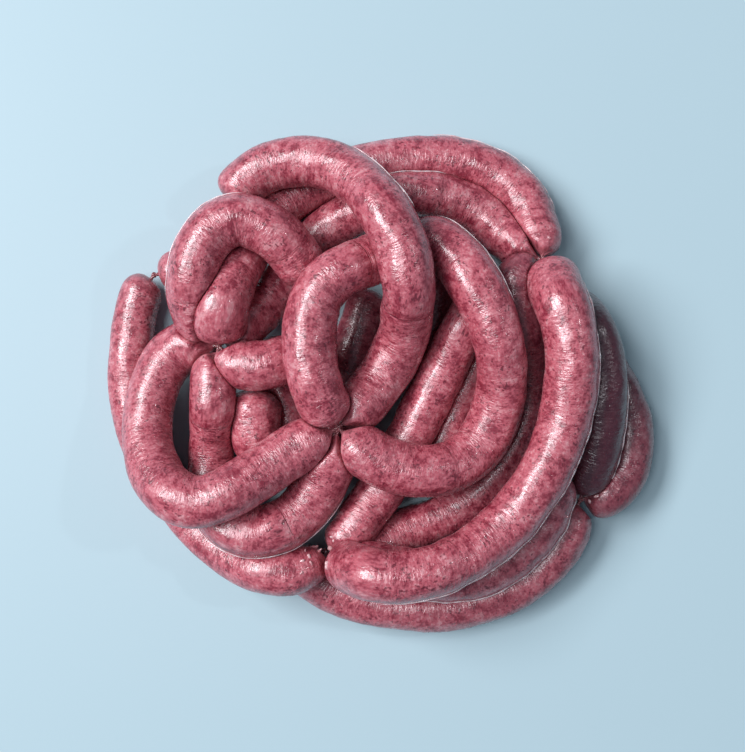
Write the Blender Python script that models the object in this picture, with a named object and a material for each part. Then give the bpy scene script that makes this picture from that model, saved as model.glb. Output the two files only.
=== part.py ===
"""A string of raw sausage links lying in a loose heap, as lifted from a butcher's counter.

Twenty-three links of stuffed sheep casing lie over and under each other, and small knots of twisted
casing hold their ends together. Each link follows a route on a chart of the heap, seen from
straight above. Every route point has a level: where two links cross, the one of the higher level
lies on top. Heights follow from that order, and wherever two links press together, both flatten.
"""

import math

import bmesh
import bpy
import numpy as np

# The route chart: its unit at floor level, the height it is seen from, and its middle
CHART_UNIT = 0.00044
VIEW_HEIGHT = 0.480
CHART_MIDDLE = (372.5, 376.0)
# Where the middle of the heap lies from the middle of the chart, so that the heap sits on the origin
HEAP_MIDDLE = (0.0035, -0.0036)

# Links
SAMPLE_STEP = 0.0015
ROUTE_SOFTENING = 0.005
NECK_RADIUS = 0.0008
END_ROUNDNESS = 2.4
UNEVENNESS = 0.018
UNEVEN_LENGTHS = (0.0093, 0.0171)
RING_STEP = 0.0092
RING_SIDES = 12
END_STATIONS = (0.0, 0.0012, 0.0032, 0.0062, 0.0104)

# Knots of twisted casing, and how far from a knot's middle the necks begin
KNOT_RADIUS = 0.0015
KNOT_REACH = 0.0020
KNOT_SPREAD = math.radians(52)
SPREAD_PASSES = 80
SPREAD_EASE = 0.15
NECK_LOOK = 0.009
NECK_BLEND = 0.014

# How the links settle: shares of the full radius that are left where they press
FIRMNESS = 0.88
FLOOR_FIRMNESS = 0.93
LEVEL_STEP = 0.12
LEVEL_HEIGHT = 0.016
DRAPE_REACH = 0.011
STIFFNESS = 14
KNOT_BLEND = 0.022
KNOT_CROWD = 0.026
SETTLING_PASSES = 14
CONTACT_GAP = 0.0007
LEAST_SHARE = 0.15
SMALLEST = 1e-12
# Where around a point the pressing is felt, in ring steps along and in sides around
FELT_ALONG = (-0.6, -0.3, 0.0, 0.3, 0.6)
FELT_AROUND = (-0.5, 0.0, 0.5)

# Knots by chart place (u to the right, v towards the front), level, and height in metres
KNOTS = {
    "knot_middle": (338, 428, 2.6, 0.040),
    "knot_left": (219, 346, 1.7, 0.029),
    "knot_right_back": (543, 261, 1.3, 0.022),
    "knot_front": (331, 557, 1.2, 0.024),
    "knot_left_rim": (154, 275, 0.0, 0.010),
    "knot_right_front": (580, 500, 0.3, 0.013),
    "knot_back_hidden": (404, 238, 1.8, 0.032),
    "knot_right_hidden": (562, 296, 0.6, 0.013),
    "knot_under_centre": (486, 288, 0.5, 0.014),
    "knot_under_bow": (306, 462, 0.3, 0.012),
}

# Where a link's back is held up by others: the link, the chart place, and its least height there
PROPS = [
    ("link_crown_outer", 220, 318, 0.040),
    ("link_crown_inner", 418, 190, 0.0165),
]

# Colours and finish
MEAT_COLOR = (0.47, 0.10, 0.12, 1.0)
CASING_COLOR = (0.62, 0.33, 0.32, 1.0)
CASING_ROUGHNESS = 0.32


class Link:
    """One link: the knots it hangs from, its thickness, how blunt its ends are, and its route."""

    def __init__(self, name, start, end, thickness, end_lengths, route):
        self.name = name
        self.start = start
        self.end = end
        self.thickness = thickness
        self.end_lengths = end_lengths
        self.route = route


LINKS = [
    Link("link_top_arch", None, "knot_middle", (0.0200, 0.0213, 0.0213), (0.8, 1.5), [
        (230, 201, 1.6), (243, 182, 1.8), (268, 166, 2.2), (300, 160, 2.6), (328, 163, 3.0),
        (352, 175, 3.2), (376, 198, 3.4), (393, 225, 3.5), (405, 258, 3.6), (410, 292, 3.6),
        (404, 338, 3.5), (385, 375, 3.2), (362, 404, 3.0)]),
    Link("link_left_loop", "knot_left", None, (0.0200, 0.0212, 0.0212), (1.5, 0.9), [
        (201, 328, 1.6), (192, 300, 1.6), (193, 272, 1.6), (200, 246, 1.6), (215, 227, 1.9),
        (238, 217, 2.7), (265, 226, 2.7), (285, 242, 2.5), (300, 262, 2.1), (312, 282, 1.7)]),
    Link("link_inner_hook", "knot_middle", "knot_back_hidden", (0.0212, 0.0210), (0.9, 1.2), [
        (322, 402, 2.9), (311, 370, 3.0), (308, 335, 3.0), (313, 302, 2.9), (330, 277, 2.8),
        (355, 265, 2.6), (380, 258, 2.3)]),
    Link("link_left_bow", "knot_middle", "knot_left", (0.0210, 0.0212), (1.3, 1.1), [
        (305, 443, 2.8), (275, 463, 2.8), (247, 482, 2.7), (219, 498, 2.6), (191, 505, 2.5),
        (165, 491, 2.3), (151, 464, 2.2), (146, 435, 2.1), (149, 405, 2.1), (157, 378, 2.1),
        (170, 355, 2.1), (190, 341, 2.0)]),
    Link("link_left_under", "knot_left", "knot_middle", (0.0188, 0.0190, 0.0222, 0.0218), (1.3, 1.8), [
        (213, 370, 1.2), (213, 398, 1.0), (212, 430, 1.0), (211, 462, 1.0), (211, 494, 1.0),
        (220, 518, 1.1), (238, 531, 1.2), (262, 534, 1.4), (286, 525, 1.6), (308, 506, 1.9),
        (323, 481, 2.2), (332, 457, 2.4)]),
    Link("link_centre_bow", "knot_middle", "knot_back_hidden", (0.0212, 0.0214), (1.3, 1.2), [
        (358, 448, 2.4), (385, 464, 2.3), (415, 473, 2.3), (447, 470, 2.3), (476, 452, 2.3),
        (494, 422, 2.3), (503, 390, 2.3), (502, 355, 2.3), (494, 322, 2.3), (480, 292, 2.3),
        (461, 262, 2.2), (441, 243, 2.0), (422, 237, 1.9)]),
    Link("link_crown_outer", "knot_right_back", "knot_left", (0.0206, 0.0206, 0.0226), (1.1, 0.9), [
        (540, 245, 1.0), (534, 224, 0.8), (522, 196, 0.8), (505, 182, 0.8), (488, 169, 0.8),
        (463, 162, 0.8), (440, 159, 0.8), (404, 161, 0.8), (378, 166, 0.8), (354, 171, 0.9),
        (326, 180, 1.0), (298, 193, 1.0), (273, 210, 1.1), (253, 234, 1.1), (242, 258, 1.35),
        (233, 274, 1.65), (225, 290, 1.65), (218, 317, 1.65)]),
    Link("link_crown_inner", "knot_right_back", "knot_left", (0.0200, 0.0194), (1.2, 1.3), [
        (518, 247, 0.9), (497, 227, 0.8), (472, 206, 0.8), (440, 195, 0.8), (412, 193, 0.9),
        (380, 198, 0.9), (353, 214, 1.0), (328, 229, 1.0), (306, 249, 1.0), (288, 273, 1.0),
        (270, 301, 1.0), (248, 322, 1.2)]),
    Link("link_right_hidden", "knot_right_back", "knot_front", (0.0192, 0.0194), (1.2, 1.2), [
        (522, 268, 0.5), (512, 287, 0.5), (518, 318, 0.4), (529, 362, 0.4), (527, 410, 0.4), (514, 447, 0.4),
        (493, 478, 0.5), (474, 498, 0.5), (451, 513, 0.6), (425, 524, 0.7), (399, 533, 0.7),
        (380, 546, 0.8), (360, 554, 0.9)]),
    Link("link_right_bow", "knot_right_back", "knot_front", (0.0230, 0.0206, 0.0212), (1.25, 1.2), [
        (556, 289, 2.6), (563, 306, 3.0), (569, 328, 3.0), (573, 355, 3.0), (570, 391, 3.0),
        (562, 432, 3.0), (545, 472, 3.0), (522, 507, 3.0), (494, 537, 3.0), (466, 556, 3.0),
        (439, 570, 3.0), (410, 577, 2.9), (385, 577, 2.8), (365, 574, 2.5)]),
    Link("link_short_cross", "knot_left", None, (0.0200, 0.0192), (0.75, 0.9), [
        (226, 361, 2.0), (240, 367, 2.0), (258, 367, 2.0), (286, 360, 1.9), (308, 352, 1.7), (322, 346, 1.5)]),
    Link("link_left_rim", "knot_front", "knot_left_rim", (0.0206, 0.0190, 0.0180), (1.7, 1.0), [
        (305, 568, 0.6), (283, 573, 0.4), (254, 568, 0.3), (220, 547, 0.2), (193, 521, 0.1),
        (171, 492, 0.0), (150, 462, 0.0), (137, 430, 0.0), (130, 395, 0.0), (130, 360, 0.0),
        (133, 330, 0.0), (137, 303, 0.0), (143, 286, 0.0)]),
    Link("link_left_tail", "knot_left_rim", None, (0.0178, 0.0180), (0.9, 0.9), [
        (168, 272, 0.0), (190, 268, 0.0), (212, 268, 0.0), (229, 273, 0.0)]),
    Link("link_deep_left", "knot_under_bow", None, (0.0184, 0.0184), (1.1, 0.9), [
        (292, 434, 0.0), (283, 404, 0.0), (279, 374, 0.0), (276, 352, 0.0), (273, 336, 0.0)]),
    Link("link_deep_hook", "knot_under_bow", None, (0.0190, 0.0190), (1.1, 0.9), [
        (323, 446, 0.0), (336, 420, 0.0), (345, 390, 0.0), (352, 362, 0.0), (357, 338, 0.0),
        (364, 314, 0.0), (372, 290, 0.0)]),
    Link("link_deep_middle", "knot_back_hidden", None, (0.0190, 0.0190), (1.1, 0.9), [
        (420, 256, 0.9), (431, 278, 0.3), (435, 302, 0.0), (430, 328, 0.0), (419, 352, 0.0),
        (409, 368, 0.0)]),
    Link("link_diagonal", "knot_front", "knot_under_centre", (0.0206, 0.0196, 0.0184), (0.9, 1.1), [
        (351, 535, 1.0), (364, 512, 0.9), (384, 487, 0.9), (405, 446, 0.9), (430, 396, 0.9),
        (455, 345, 0.9), (472, 310, 0.8)]),
    Link("link_diagonal_under", "knot_under_centre", None, (0.0182, 0.0182), (1.2, 0.9), [
        (484, 318, 0.0), (477, 360, 0.0), (460, 402, 0.0), (443, 438, 0.0), (428, 468, 0.0), (414, 493, 0.0)]),
    Link("link_front_rim", "knot_right_front", None, (0.0206, 0.0208), (1.3, 0.9), [
        (573, 516, 0.0), (560, 543, 0.0), (538, 570, 0.0), (505, 592, 0.0), (465, 604, 0.0),
        (425, 608, 0.0), (385, 605, 0.0), (352, 597, 0.0), (326, 585, 0.0), (306, 569, 0.0),
        (291, 553, 0.0)]),
    Link("link_front_inner", None, "knot_front", (0.0200, 0.0204), (0.9, 1.3), [
        (553, 472, 0.9), (553, 492, 1.0), (546, 514, 1.1), (533, 535, 1.1), (512, 555, 1.1),
        (488, 572, 1.1), (461, 579, 1.1), (430, 577, 1.1), (400, 572, 1.1), (368, 566, 1.1)]),
    Link("link_right_inner", "knot_right_front", "knot_right_hidden", (0.0200, 0.0200), (1.2, 1.2), [
        (591, 467, 1.1), (600, 432, 1.2), (603, 402, 1.3), (603, 375, 1.3), (598, 346, 1.2),
        (587, 321, 1.0)]),
    Link("link_right_rim", "knot_right_front", "knot_right_hidden", (0.0206, 0.0200), (0.9, 1.1), [
        (597, 498, 0.0), (613, 489, 0.0), (626, 470, 0.0), (632, 440, 0.0), (627, 411, 0.0),
        (615, 387, 0.0), (599, 362, 0.0), (581, 330, 0.0)]),
    Link("link_end_stub", None, "knot_under_bow", (0.0226, 0.0206), (0.9, 1.3), [
        (254, 389, 0.9), (254, 408, 0.9), (253, 428, 0.9), (258, 447, 0.9), (276, 461, 0.8)]),
]


def clear_scene():
    for obj in list(bpy.data.objects):
        bpy.data.objects.remove(obj, do_unlink=True)


def soft_step(share):
    """Rises smoothly from 0 to 1 as the share does."""
    share = np.clip(share, 0.0, 1.0)
    return share * share * (3.0 - 2.0 * share)


def along(points):
    """The distance from the first point to each point, along the line."""
    steps = np.linalg.norm(np.diff(points, axis=0), axis=1)
    return np.concatenate([[0.0], np.cumsum(steps)])


def spaced(points, measured, step):
    """The line's values at even steps of about the given size, where measured gives its distances."""
    count = max(int(round(measured[-1] / step)), 2)
    wanted = np.linspace(0.0, measured[-1], count + 1)
    return np.stack([np.interp(wanted, measured, column) for column in points.T], axis=1)


def softened(values, reach):
    """The values averaged along the line with a bell of the given reach in samples, ends kept."""
    half = int(3 * reach)
    bell = np.exp(-0.5 * (np.arange(-half, half + 1) / reach) ** 2)
    bell /= bell.sum()
    before = 2 * values[0] - values[half:0:-1]
    after = 2 * values[-1] - values[-2:-half - 2:-1]
    padded = np.concatenate([before, values, after])
    return np.stack([np.convolve(column, bell, mode="valid") for column in padded.T], axis=1)


def chart_samples(link):
    """Even samples of the link's route in chart units: u, v and level."""
    points = list(link.route)
    if link.start:
        points.insert(0, KNOTS[link.start][:3])
    if link.end:
        points.append(KNOTS[link.end][:3])
    points = np.array(points, float)
    samples = spaced(points, along(points[:, :2]), SAMPLE_STEP / CHART_UNIT)
    return softened(samples, ROUTE_SOFTENING / SAMPLE_STEP)


def plan_places(chart, heights):
    """Places in metres for chart places that are seen at these heights."""
    scale = CHART_UNIT * (1.0 - heights / VIEW_HEIGHT)
    return np.stack([
        (chart[:, 0] - CHART_MIDDLE[0]) * scale - HEAP_MIDDLE[0],
        (CHART_MIDDLE[1] - chart[:, 1]) * scale - HEAP_MIDDLE[1]], axis=1)


def radii(link, distances):
    """The link's radius at each distance along it: rounded ends that narrow to a neck."""
    length = distances[-1]
    places = np.linspace(0.0, length, len(link.thickness))
    full = 0.5 * np.interp(distances, places, link.thickness)
    turn = sum(ord(letter) for letter in link.name)
    for number, uneven_length in enumerate(UNEVEN_LENGTHS, 1):
        full = full * (1.0 + UNEVENNESS * np.sin(distances / uneven_length + number * turn))
    shape = np.ones_like(distances)
    for away, blunt in ((distances, link.end_lengths[0]), (length - distances, link.end_lengths[1])):
        share = np.clip(away / (blunt * full), 0.0, 1.0)
        shape = np.minimum(shape, np.sqrt(1.0 - (1.0 - share) ** END_ROUNDNESS))
    return NECK_RADIUS + (full - NECK_RADIUS) * shape


def draped(needed, reach):
    """The lowest smooth curve found that stays above the needed heights."""
    padded = np.pad(needed, reach, mode="edge")
    highest = np.max([padded[k:k + len(needed)] for k in range(2 * reach + 1)], axis=0)
    bell = np.hanning(2 * reach + 3)[1:-1]
    bell /= bell.sum()
    curve = np.convolve(np.pad(highest, reach, mode="edge"), bell, mode="valid")
    for _ in range(STIFFNESS):
        curve = np.maximum(curve, np.convolve(np.pad(curve, reach, mode="edge"), bell, mode="valid"))
    return curve


def knot_crowd(link, distances):
    """For each sample, the number of the knot whose crowd of ends it is in, or -1."""
    numbers = {name: k for k, name in enumerate(KNOTS)}
    crowd = np.full(len(distances), -1)
    if link.start:
        crowd[distances < KNOT_CROWD] = numbers[link.start]
    if link.end:
        crowd[distances[-1] - distances < KNOT_CROWD] = numbers[link.end]
    return crowd


def held_heights(link, chart):
    """The height of the knot at each end of a link and of any prop, and nothing between."""
    held = np.zeros(len(chart))
    for name, u, v, height in PROPS:
        if name == link.name:
            held[np.argmin(np.hypot(chart[:, 0] - u, chart[:, 1] - v))] = height
    held[0] = KNOTS[link.start][3] if link.start else 0.0
    held[-1] = KNOTS[link.end][3] if link.end else 0.0
    return held


def settle(charts):
    """Heights of every link's samples, from their levels and the links' thickness."""
    owner = np.concatenate([np.full(len(chart), k) for k, chart in enumerate(charts)])
    chart = np.concatenate(charts)
    level = chart[:, 2]
    lengths = [along(one[:, :2]) * CHART_UNIT for one in charts]
    radius = np.concatenate([radii(link, length) for link, length in zip(LINKS, lengths)])
    body = np.concatenate([
        np.full(len(one), 0.5 * np.mean(link.thickness)) for link, one in zip(LINKS, charts)])
    crowd = np.concatenate([knot_crowd(link, length) for link, length in zip(LINKS, lengths)])
    over = (level[:, None] > level[None, :] + LEVEL_STEP) & (owner[:, None] != owner[None, :])
    over &= (crowd[:, None] != crowd[None, :]) | (crowd[:, None] < 0)
    reach = FIRMNESS * (radius[:, None] + radius[None, :])
    held = np.concatenate([held_heights(link, one) for link, one in zip(LINKS, charts)])
    height = body + LEVEL_HEIGHT * level
    drape = int(round(DRAPE_REACH / SAMPLE_STEP))
    for _ in range(SETTLING_PASSES):
        plan = plan_places(chart, height)
        apart = np.hypot(plan[:, None, 0] - plan[None, :, 0], plan[:, None, 1] - plan[None, :, 1])
        rise = np.sqrt(np.maximum(reach ** 2 - apart ** 2, 0.0))
        lift = np.where(over & (apart < reach), height[None, :] + rise, 0.0)
        needed = np.maximum(lift.max(axis=1), FLOOR_FIRMNESS * body)
        needed = np.maximum(needed, held)
        curves = [draped(needed[owner == k], drape) for k in range(len(LINKS))]
        for link, curve, length in zip(LINKS, curves, lengths):
            if link.start:
                share = 1.0 - soft_step(length / KNOT_BLEND)
                curve += share * (KNOTS[link.start][3] - curve[0])
            if link.end:
                share = 1.0 - soft_step((length[-1] - length) / KNOT_BLEND)
                curve += share * (KNOTS[link.end][3] - curve[-1])
        height = np.concatenate(curves)
    return [height[owner == k] for k in range(len(LINKS))]


def spread_apart(directions):
    """Unit vectors turned away from each other until each pair is a fair angle apart."""
    directions = [d / np.linalg.norm(d) for d in directions]
    for _ in range(SPREAD_PASSES):
        for i, first in enumerate(directions):
            for j, second in enumerate(directions):
                angle = math.acos(float(np.clip(first @ second, -1.0, 1.0)))
                if i == j or angle >= KNOT_SPREAD:
                    continue
                away = directions[i] - directions[j] + SMALLEST
                away *= SPREAD_EASE * (KNOT_SPREAD - angle) / np.linalg.norm(away)
                directions[i] = (directions[i] + away) / np.linalg.norm(directions[i] + away)
    return directions


def middle_lines():
    """Every link's middle line in metres, its radii, and every knot's place."""
    charts = [chart_samples(link) for link in LINKS]
    heights = settle(charts)
    lines = []
    for chart, height in zip(charts, heights):
        line = np.column_stack([plan_places(chart, height), height])
        lines.append(spaced(line, along(line), SAMPLE_STEP))
    places = {}
    for name, (u, v, _, height) in KNOTS.items():
        plan = plan_places(np.array([[u, v]], float), np.array([height]))[0]
        places[name] = np.array([plan[0], plan[1], height])
    return [necked(link, line, lines, places) for link, line in zip(LINKS, lines)], places


def neck_starts(name, lines, place):
    """Where each link's neck leaves the knot, by link name and end."""
    keys, directions = [], []
    for link, line in zip(LINKS, lines):
        for end, points in ((link.start, line), (link.end, line[::-1])):
            if end != name:
                continue
            keys.append((link.name, points is line))
            ahead = points[np.searchsorted(along(points), NECK_LOOK)]
            directions.append(ahead - place)
    return dict(zip(keys, spread_apart(directions)))


def necked(link, line, lines, places):
    """The link's line between its knots, with its ends led to their own places on the knots."""
    distances = along(line)
    low = KNOT_REACH if link.start else 0.0
    high = distances[-1] - (KNOT_REACH if link.end else 0.0)
    count = int(round((high - low) / SAMPLE_STEP))
    wanted = np.linspace(low, high, count + 1)
    cut = np.stack([np.interp(wanted, distances, column) for column in line.T], axis=1)
    measured = along(cut)
    if link.start:
        leave = neck_starts(link.start, lines, places[link.start])[(link.name, True)]
        shift = places[link.start] + KNOT_REACH * leave - cut[0]
        cut = cut + (1.0 - soft_step(measured / NECK_BLEND))[:, None] * shift
    if link.end:
        leave = neck_starts(link.end, lines, places[link.end])[(link.name, False)]
        shift = places[link.end] + KNOT_REACH * leave - cut[-1]
        cut = cut + (1.0 - soft_step((measured[-1] - measured) / NECK_BLEND))[:, None] * shift
    return cut


class Heap:
    """All links' samples as spheres, which shape each link where it presses on the others."""

    def __init__(self):
        self.lines, self.knots = middle_lines()
        self.radii = [radii(link, along(line)) for link, line in zip(LINKS, self.lines)]
        self.centres = np.concatenate(self.lines + [np.array([p]) for p in self.knots.values()])
        self.sizes = np.concatenate(self.radii + [np.full(len(self.knots), KNOT_RADIUS)])
        owners = [np.full(len(line), k) for k, line in enumerate(self.lines)]
        self.owners = np.concatenate(owners + [np.full(len(self.knots), -1)])
        self.knot_names = list(self.knots)

    def others(self, index):
        """Which spheres can press on this link."""
        others = self.owners != index
        first_knot = len(others) - len(self.knots)
        for k, name in enumerate(self.knot_names):
            if name in (LINKS[index].start, LINKS[index].end):
                others[first_knot + k] = False
        return others

    def shares(self, index, centres, sizes, directions):
        """How far out the surface reaches along each direction, as a share of the radius."""
        others = self.others(index)
        places, reaches = self.centres[others], self.sizes[others]
        result = np.ones(directions.shape[:2])
        for k, (centre, size) in enumerate(zip(centres, sizes)):
            offset = centre - places
            near = np.linalg.norm(offset, axis=1) < size + reaches + CONTACT_GAP
            spokes = directions[k] * size
            if near.any():
                offset, reach = offset[near], reaches[near]
                lag = reach - size + CONTACT_GAP
                closing = lag * size - spokes @ offset.T
                slack = (offset ** 2).sum(axis=1) - lag ** 2
                pressed = slack / (2 * np.maximum(closing, SMALLEST))
                share = np.where(closing > SMALLEST, pressed, 1.0)
                result[k] = np.minimum(result[k], share.min(axis=1))
        return np.clip(result, LEAST_SHARE, 1.0)


def frames(line, tangents):
    """Two unit vectors across each tangent: one level, one upwards."""
    level = np.cross(tangents, (0.0, 0.0, 1.0))
    level /= np.linalg.norm(level, axis=1)[:, None]
    upward = np.cross(level, tangents)
    return level, upward


def at_distances(line, size, wanted):
    """Centre, radius, level and upward vectors of the line at the wanted distances."""
    measured = along(line)
    tangents = np.gradient(line, axis=0)
    tangents /= np.linalg.norm(tangents, axis=1)[:, None]
    table = np.column_stack([line, size, tangents])
    values = np.stack([np.interp(wanted, measured, column) for column in table.T], axis=1)
    tangents = values[:, 4:] / np.linalg.norm(values[:, 4:], axis=1)[:, None]
    level, upward = frames(line, tangents)
    return values[:, :3], values[:, 3], level, upward


def spokes_at(level, upward, angles):
    return (np.cos(angles)[None, :, None] * level[:, None, :]
            + np.sin(angles)[None, :, None] * upward[:, None, :])


def ring_stations(length):
    """Distances along a link at which its rings stand: close at the ends, even between."""
    inner = END_STATIONS[-1]
    count = max(int(math.ceil((length - 2 * inner) / RING_STEP)), 1)
    middle = np.linspace(inner, length - inner, count + 1)
    ends = np.array(END_STATIONS[:-1])
    return np.concatenate([ends, middle, (length - ends)[::-1]])


def link_rings(heap, index):
    """The rings of one link's surface. Each point keeps clear of all that presses near it."""
    line, size = heap.lines[index], heap.radii[index]
    length = along(line)[-1]
    stations = ring_stations(length)
    angles = (np.arange(RING_SIDES) + 0.5) * 2 * math.pi / RING_SIDES
    gaps = np.gradient(stations)
    share = np.ones((len(stations), RING_SIDES))
    for along_shift in FELT_ALONG:
        moved = np.clip(stations + along_shift * gaps, 0.0, length)
        centre, radius, level, upward = at_distances(line, size, moved)
        for turn in FELT_AROUND:
            directions = spokes_at(level, upward, angles + turn * 2 * math.pi / RING_SIDES)
            share = np.minimum(share, heap.shares(index, centre, radius, directions))
    centre, radius, level, upward = at_distances(line, size, stations)
    directions = spokes_at(level, upward, angles)
    rings = centre[:, None, :] + directions * (share * radius[:, None])[:, :, None]
    rings[:, :, 2] = np.maximum(rings[:, :, 2], 0.0)
    return rings


def mesh_object(name, mesh, material):
    obj = bpy.data.objects.new(name, mesh)
    bpy.context.scene.collection.objects.link(obj)
    mesh.materials.append(material)
    mesh.shade_smooth()
    return obj


def skin(name, rings, material):
    """A closed tube through the rings."""
    work = bmesh.new()
    loops = [[work.verts.new(point) for point in ring] for ring in rings.tolist()]
    sides = len(loops[0])
    for first, second in zip(loops, loops[1:]):
        for k in range(sides):
            after = (k + 1) % sides
            work.faces.new((first[k], second[k], second[after], first[after]))
    work.faces.new(loops[0])
    work.faces.new(loops[-1][::-1])
    bmesh.ops.recalc_face_normals(work, faces=work.faces)
    bmesh.ops.triangulate(work, faces=work.faces)
    mesh = bpy.data.meshes.new(name)
    work.to_mesh(mesh)
    work.free()
    return mesh_object(name, mesh, material)


def knot(name, place, material):
    """A small lump of twisted casing."""
    work = bmesh.new()
    bmesh.ops.create_icosphere(work, subdivisions=2, radius=KNOT_RADIUS)
    mesh = bpy.data.meshes.new(name)
    work.to_mesh(mesh)
    work.free()
    obj = mesh_object(name, mesh, material)
    obj.location = place
    return obj


def finish(name, color):
    """A damp casing of this colour."""
    material = bpy.data.materials.new(name)
    material.use_nodes = True
    surface = material.node_tree.nodes["Principled BSDF"]
    surface.inputs["Base Color"].default_value = color
    surface.inputs["Roughness"].default_value = CASING_ROUGHNESS
    surface.inputs["Metallic"].default_value = 0.0
    material.diffuse_color = color
    return material


def main():
    clear_scene()
    heap = Heap()
    for index, link in enumerate(LINKS):
        skin(link.name, link_rings(heap, index), finish(link.name + "_stuffed_casing", MEAT_COLOR))
    for name, place in heap.knots.items():
        knot(name, place, finish(name + "_twisted_casing", CASING_COLOR))


if __name__ == "__main__":
    main()
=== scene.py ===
"""The looks of a string of raw sausage links that lie over each other in a loose heap.

The links follow the same chart routes and settle by the same rules as the solids of the part. Each
link becomes a fine skin of damp casing over coarse meat, and each knot becomes twisted casing.
"""

import logging
import math
from dataclasses import dataclass, field
from enum import Enum

import bpy
import numpy as np
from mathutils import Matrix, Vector


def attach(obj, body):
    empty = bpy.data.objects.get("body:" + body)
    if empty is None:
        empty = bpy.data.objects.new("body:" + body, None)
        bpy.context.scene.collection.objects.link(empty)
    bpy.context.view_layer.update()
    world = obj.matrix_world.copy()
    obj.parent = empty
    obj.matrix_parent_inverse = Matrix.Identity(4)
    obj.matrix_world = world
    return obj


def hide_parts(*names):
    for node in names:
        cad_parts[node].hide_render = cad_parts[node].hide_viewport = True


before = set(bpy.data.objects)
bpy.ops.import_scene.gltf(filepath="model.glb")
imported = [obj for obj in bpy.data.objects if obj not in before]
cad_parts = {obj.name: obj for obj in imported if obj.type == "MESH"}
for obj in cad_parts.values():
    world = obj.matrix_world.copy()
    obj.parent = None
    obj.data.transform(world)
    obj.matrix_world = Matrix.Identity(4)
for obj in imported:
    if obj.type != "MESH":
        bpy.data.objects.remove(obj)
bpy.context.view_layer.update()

BODY = "root"
LOG = logging.getLogger("sausage links")
Array = np.ndarray
Color = tuple[float, float, float]
TINY = 1e-9


@dataclass(frozen=True)
class Link:
    """One link: the twists it hangs from, its thickness, how blunt its ends are, and its route."""

    name: str
    start: str | None
    end: str | None
    thickness: tuple[float, ...]
    end_lengths: tuple[float, float]
    route: list[tuple[float, float, float]]


@dataclass(frozen=True)
class Twist:
    """A place on the chart where links are twisted together: its level and height in metres."""

    u: float
    v: float
    level: float
    height: float


@dataclass(frozen=True)
class Prop:
    """A chart place where others hold a link's back up, and its least height there."""

    link: str
    u: float
    v: float
    height: float


TWISTS: dict[str, Twist] = {
    "knot_middle": Twist(338, 428, 2.6, 0.040),
    "knot_left": Twist(219, 346, 1.7, 0.029),
    "knot_right_back": Twist(543, 261, 1.3, 0.022),
    "knot_front": Twist(331, 557, 1.2, 0.024),
    "knot_left_rim": Twist(154, 275, 0.0, 0.010),
    "knot_right_front": Twist(580, 500, 0.3, 0.013),
    "knot_back_hidden": Twist(404, 238, 1.8, 0.032),
    "knot_right_hidden": Twist(562, 296, 0.6, 0.013),
    "knot_under_centre": Twist(486, 288, 0.5, 0.014),
    "knot_under_bow": Twist(306, 462, 0.3, 0.012),
}

PROPS: list[Prop] = [
    Prop("link_crown_outer", 220, 318, 0.040),
    Prop("link_crown_inner", 418, 190, 0.0165),
]

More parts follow.
